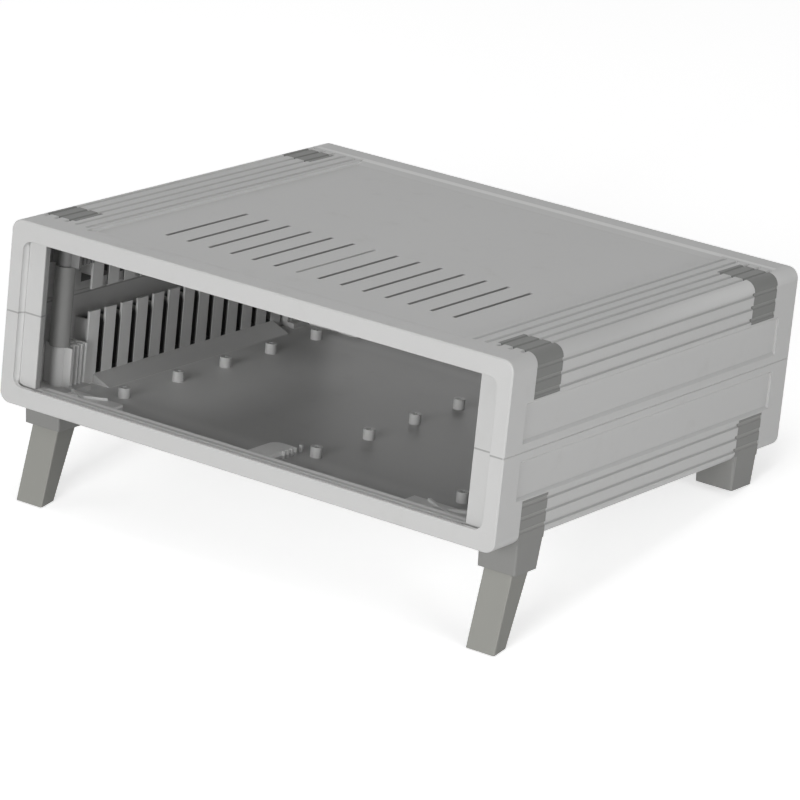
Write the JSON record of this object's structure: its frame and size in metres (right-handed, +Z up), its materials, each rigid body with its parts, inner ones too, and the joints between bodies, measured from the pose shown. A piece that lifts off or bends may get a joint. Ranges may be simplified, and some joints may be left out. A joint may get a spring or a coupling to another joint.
{
  "type": "desktop enclosure",
  "caption": "Two-shell plastic instrument case with ribbed sides, vent slots, guide ribs and standoffs inside, open front and rear, standing on folding tilt legs",
  "frame": {"origin": "centre of the footprint on the table, under the case as it stands on its folded-out legs", "axes": "+X along the width to the right seen from the front, +Y from the front towards the rear, +Z up from the table; the case itself leans back by 10 degrees"},
  "size_m": [0.3148, 0.2902, 0.1591],
  "materials": {
    "shell": "fine spark-eroded texture, light grey",
    "cover": "fine texture, mid grey",
    "foot": "fine texture, mid grey",
    "leg": "fine texture, warm grey",
    "steel": "bright zinc plated",
    "pad": "soft matt rubber"
  },
  "bodies": {
    "case": {"lower_shell": "shell", "upper_shell": "shell", "corner_cover_front_right": "cover", "corner_cover_rear_right": "cover", "corner_cover_front_left": "cover", "corner_cover_rear_left": "cover", "column_front_right": "shell", "column_rear_right": "shell", "column_front_left": "shell", "column_rear_left": "shell", "case_screw_front_right": "steel", "case_screw_rear_right": "steel", "case_screw_front_left": "steel", "case_screw_rear_left": "steel", "front_foot_right": "foot", "front_foot_left": "foot", "rear_foot_right": "foot", "rear_foot_left": "foot", "rear_pad_right": "pad", "rear_pad_left": "pad", "leg_pin_right": "steel", "leg_pin_left": "steel"},
    "left_leg": {"tilt_leg_left": "leg", "sole_pad_left": "pad"},
    "right_leg": {"tilt_leg_right": "leg", "sole_pad_right": "pad"}
  },
  "joints": [
    {"name": "left_leg_fold", "type": "hinge", "parent": "case", "child": "left_leg", "pos_m": [-0.14515, -0.11397, 0.04481], "axis": [1, 0, 0], "range_deg": [0, 102.4]},
    {"name": "right_leg_fold", "type": "hinge", "parent": "case", "child": "right_leg", "pos_m": [0.14515, -0.11397, 0.04481], "axis": [1, 0, 0], "range_deg": [0, 102.4]}
  ]
}
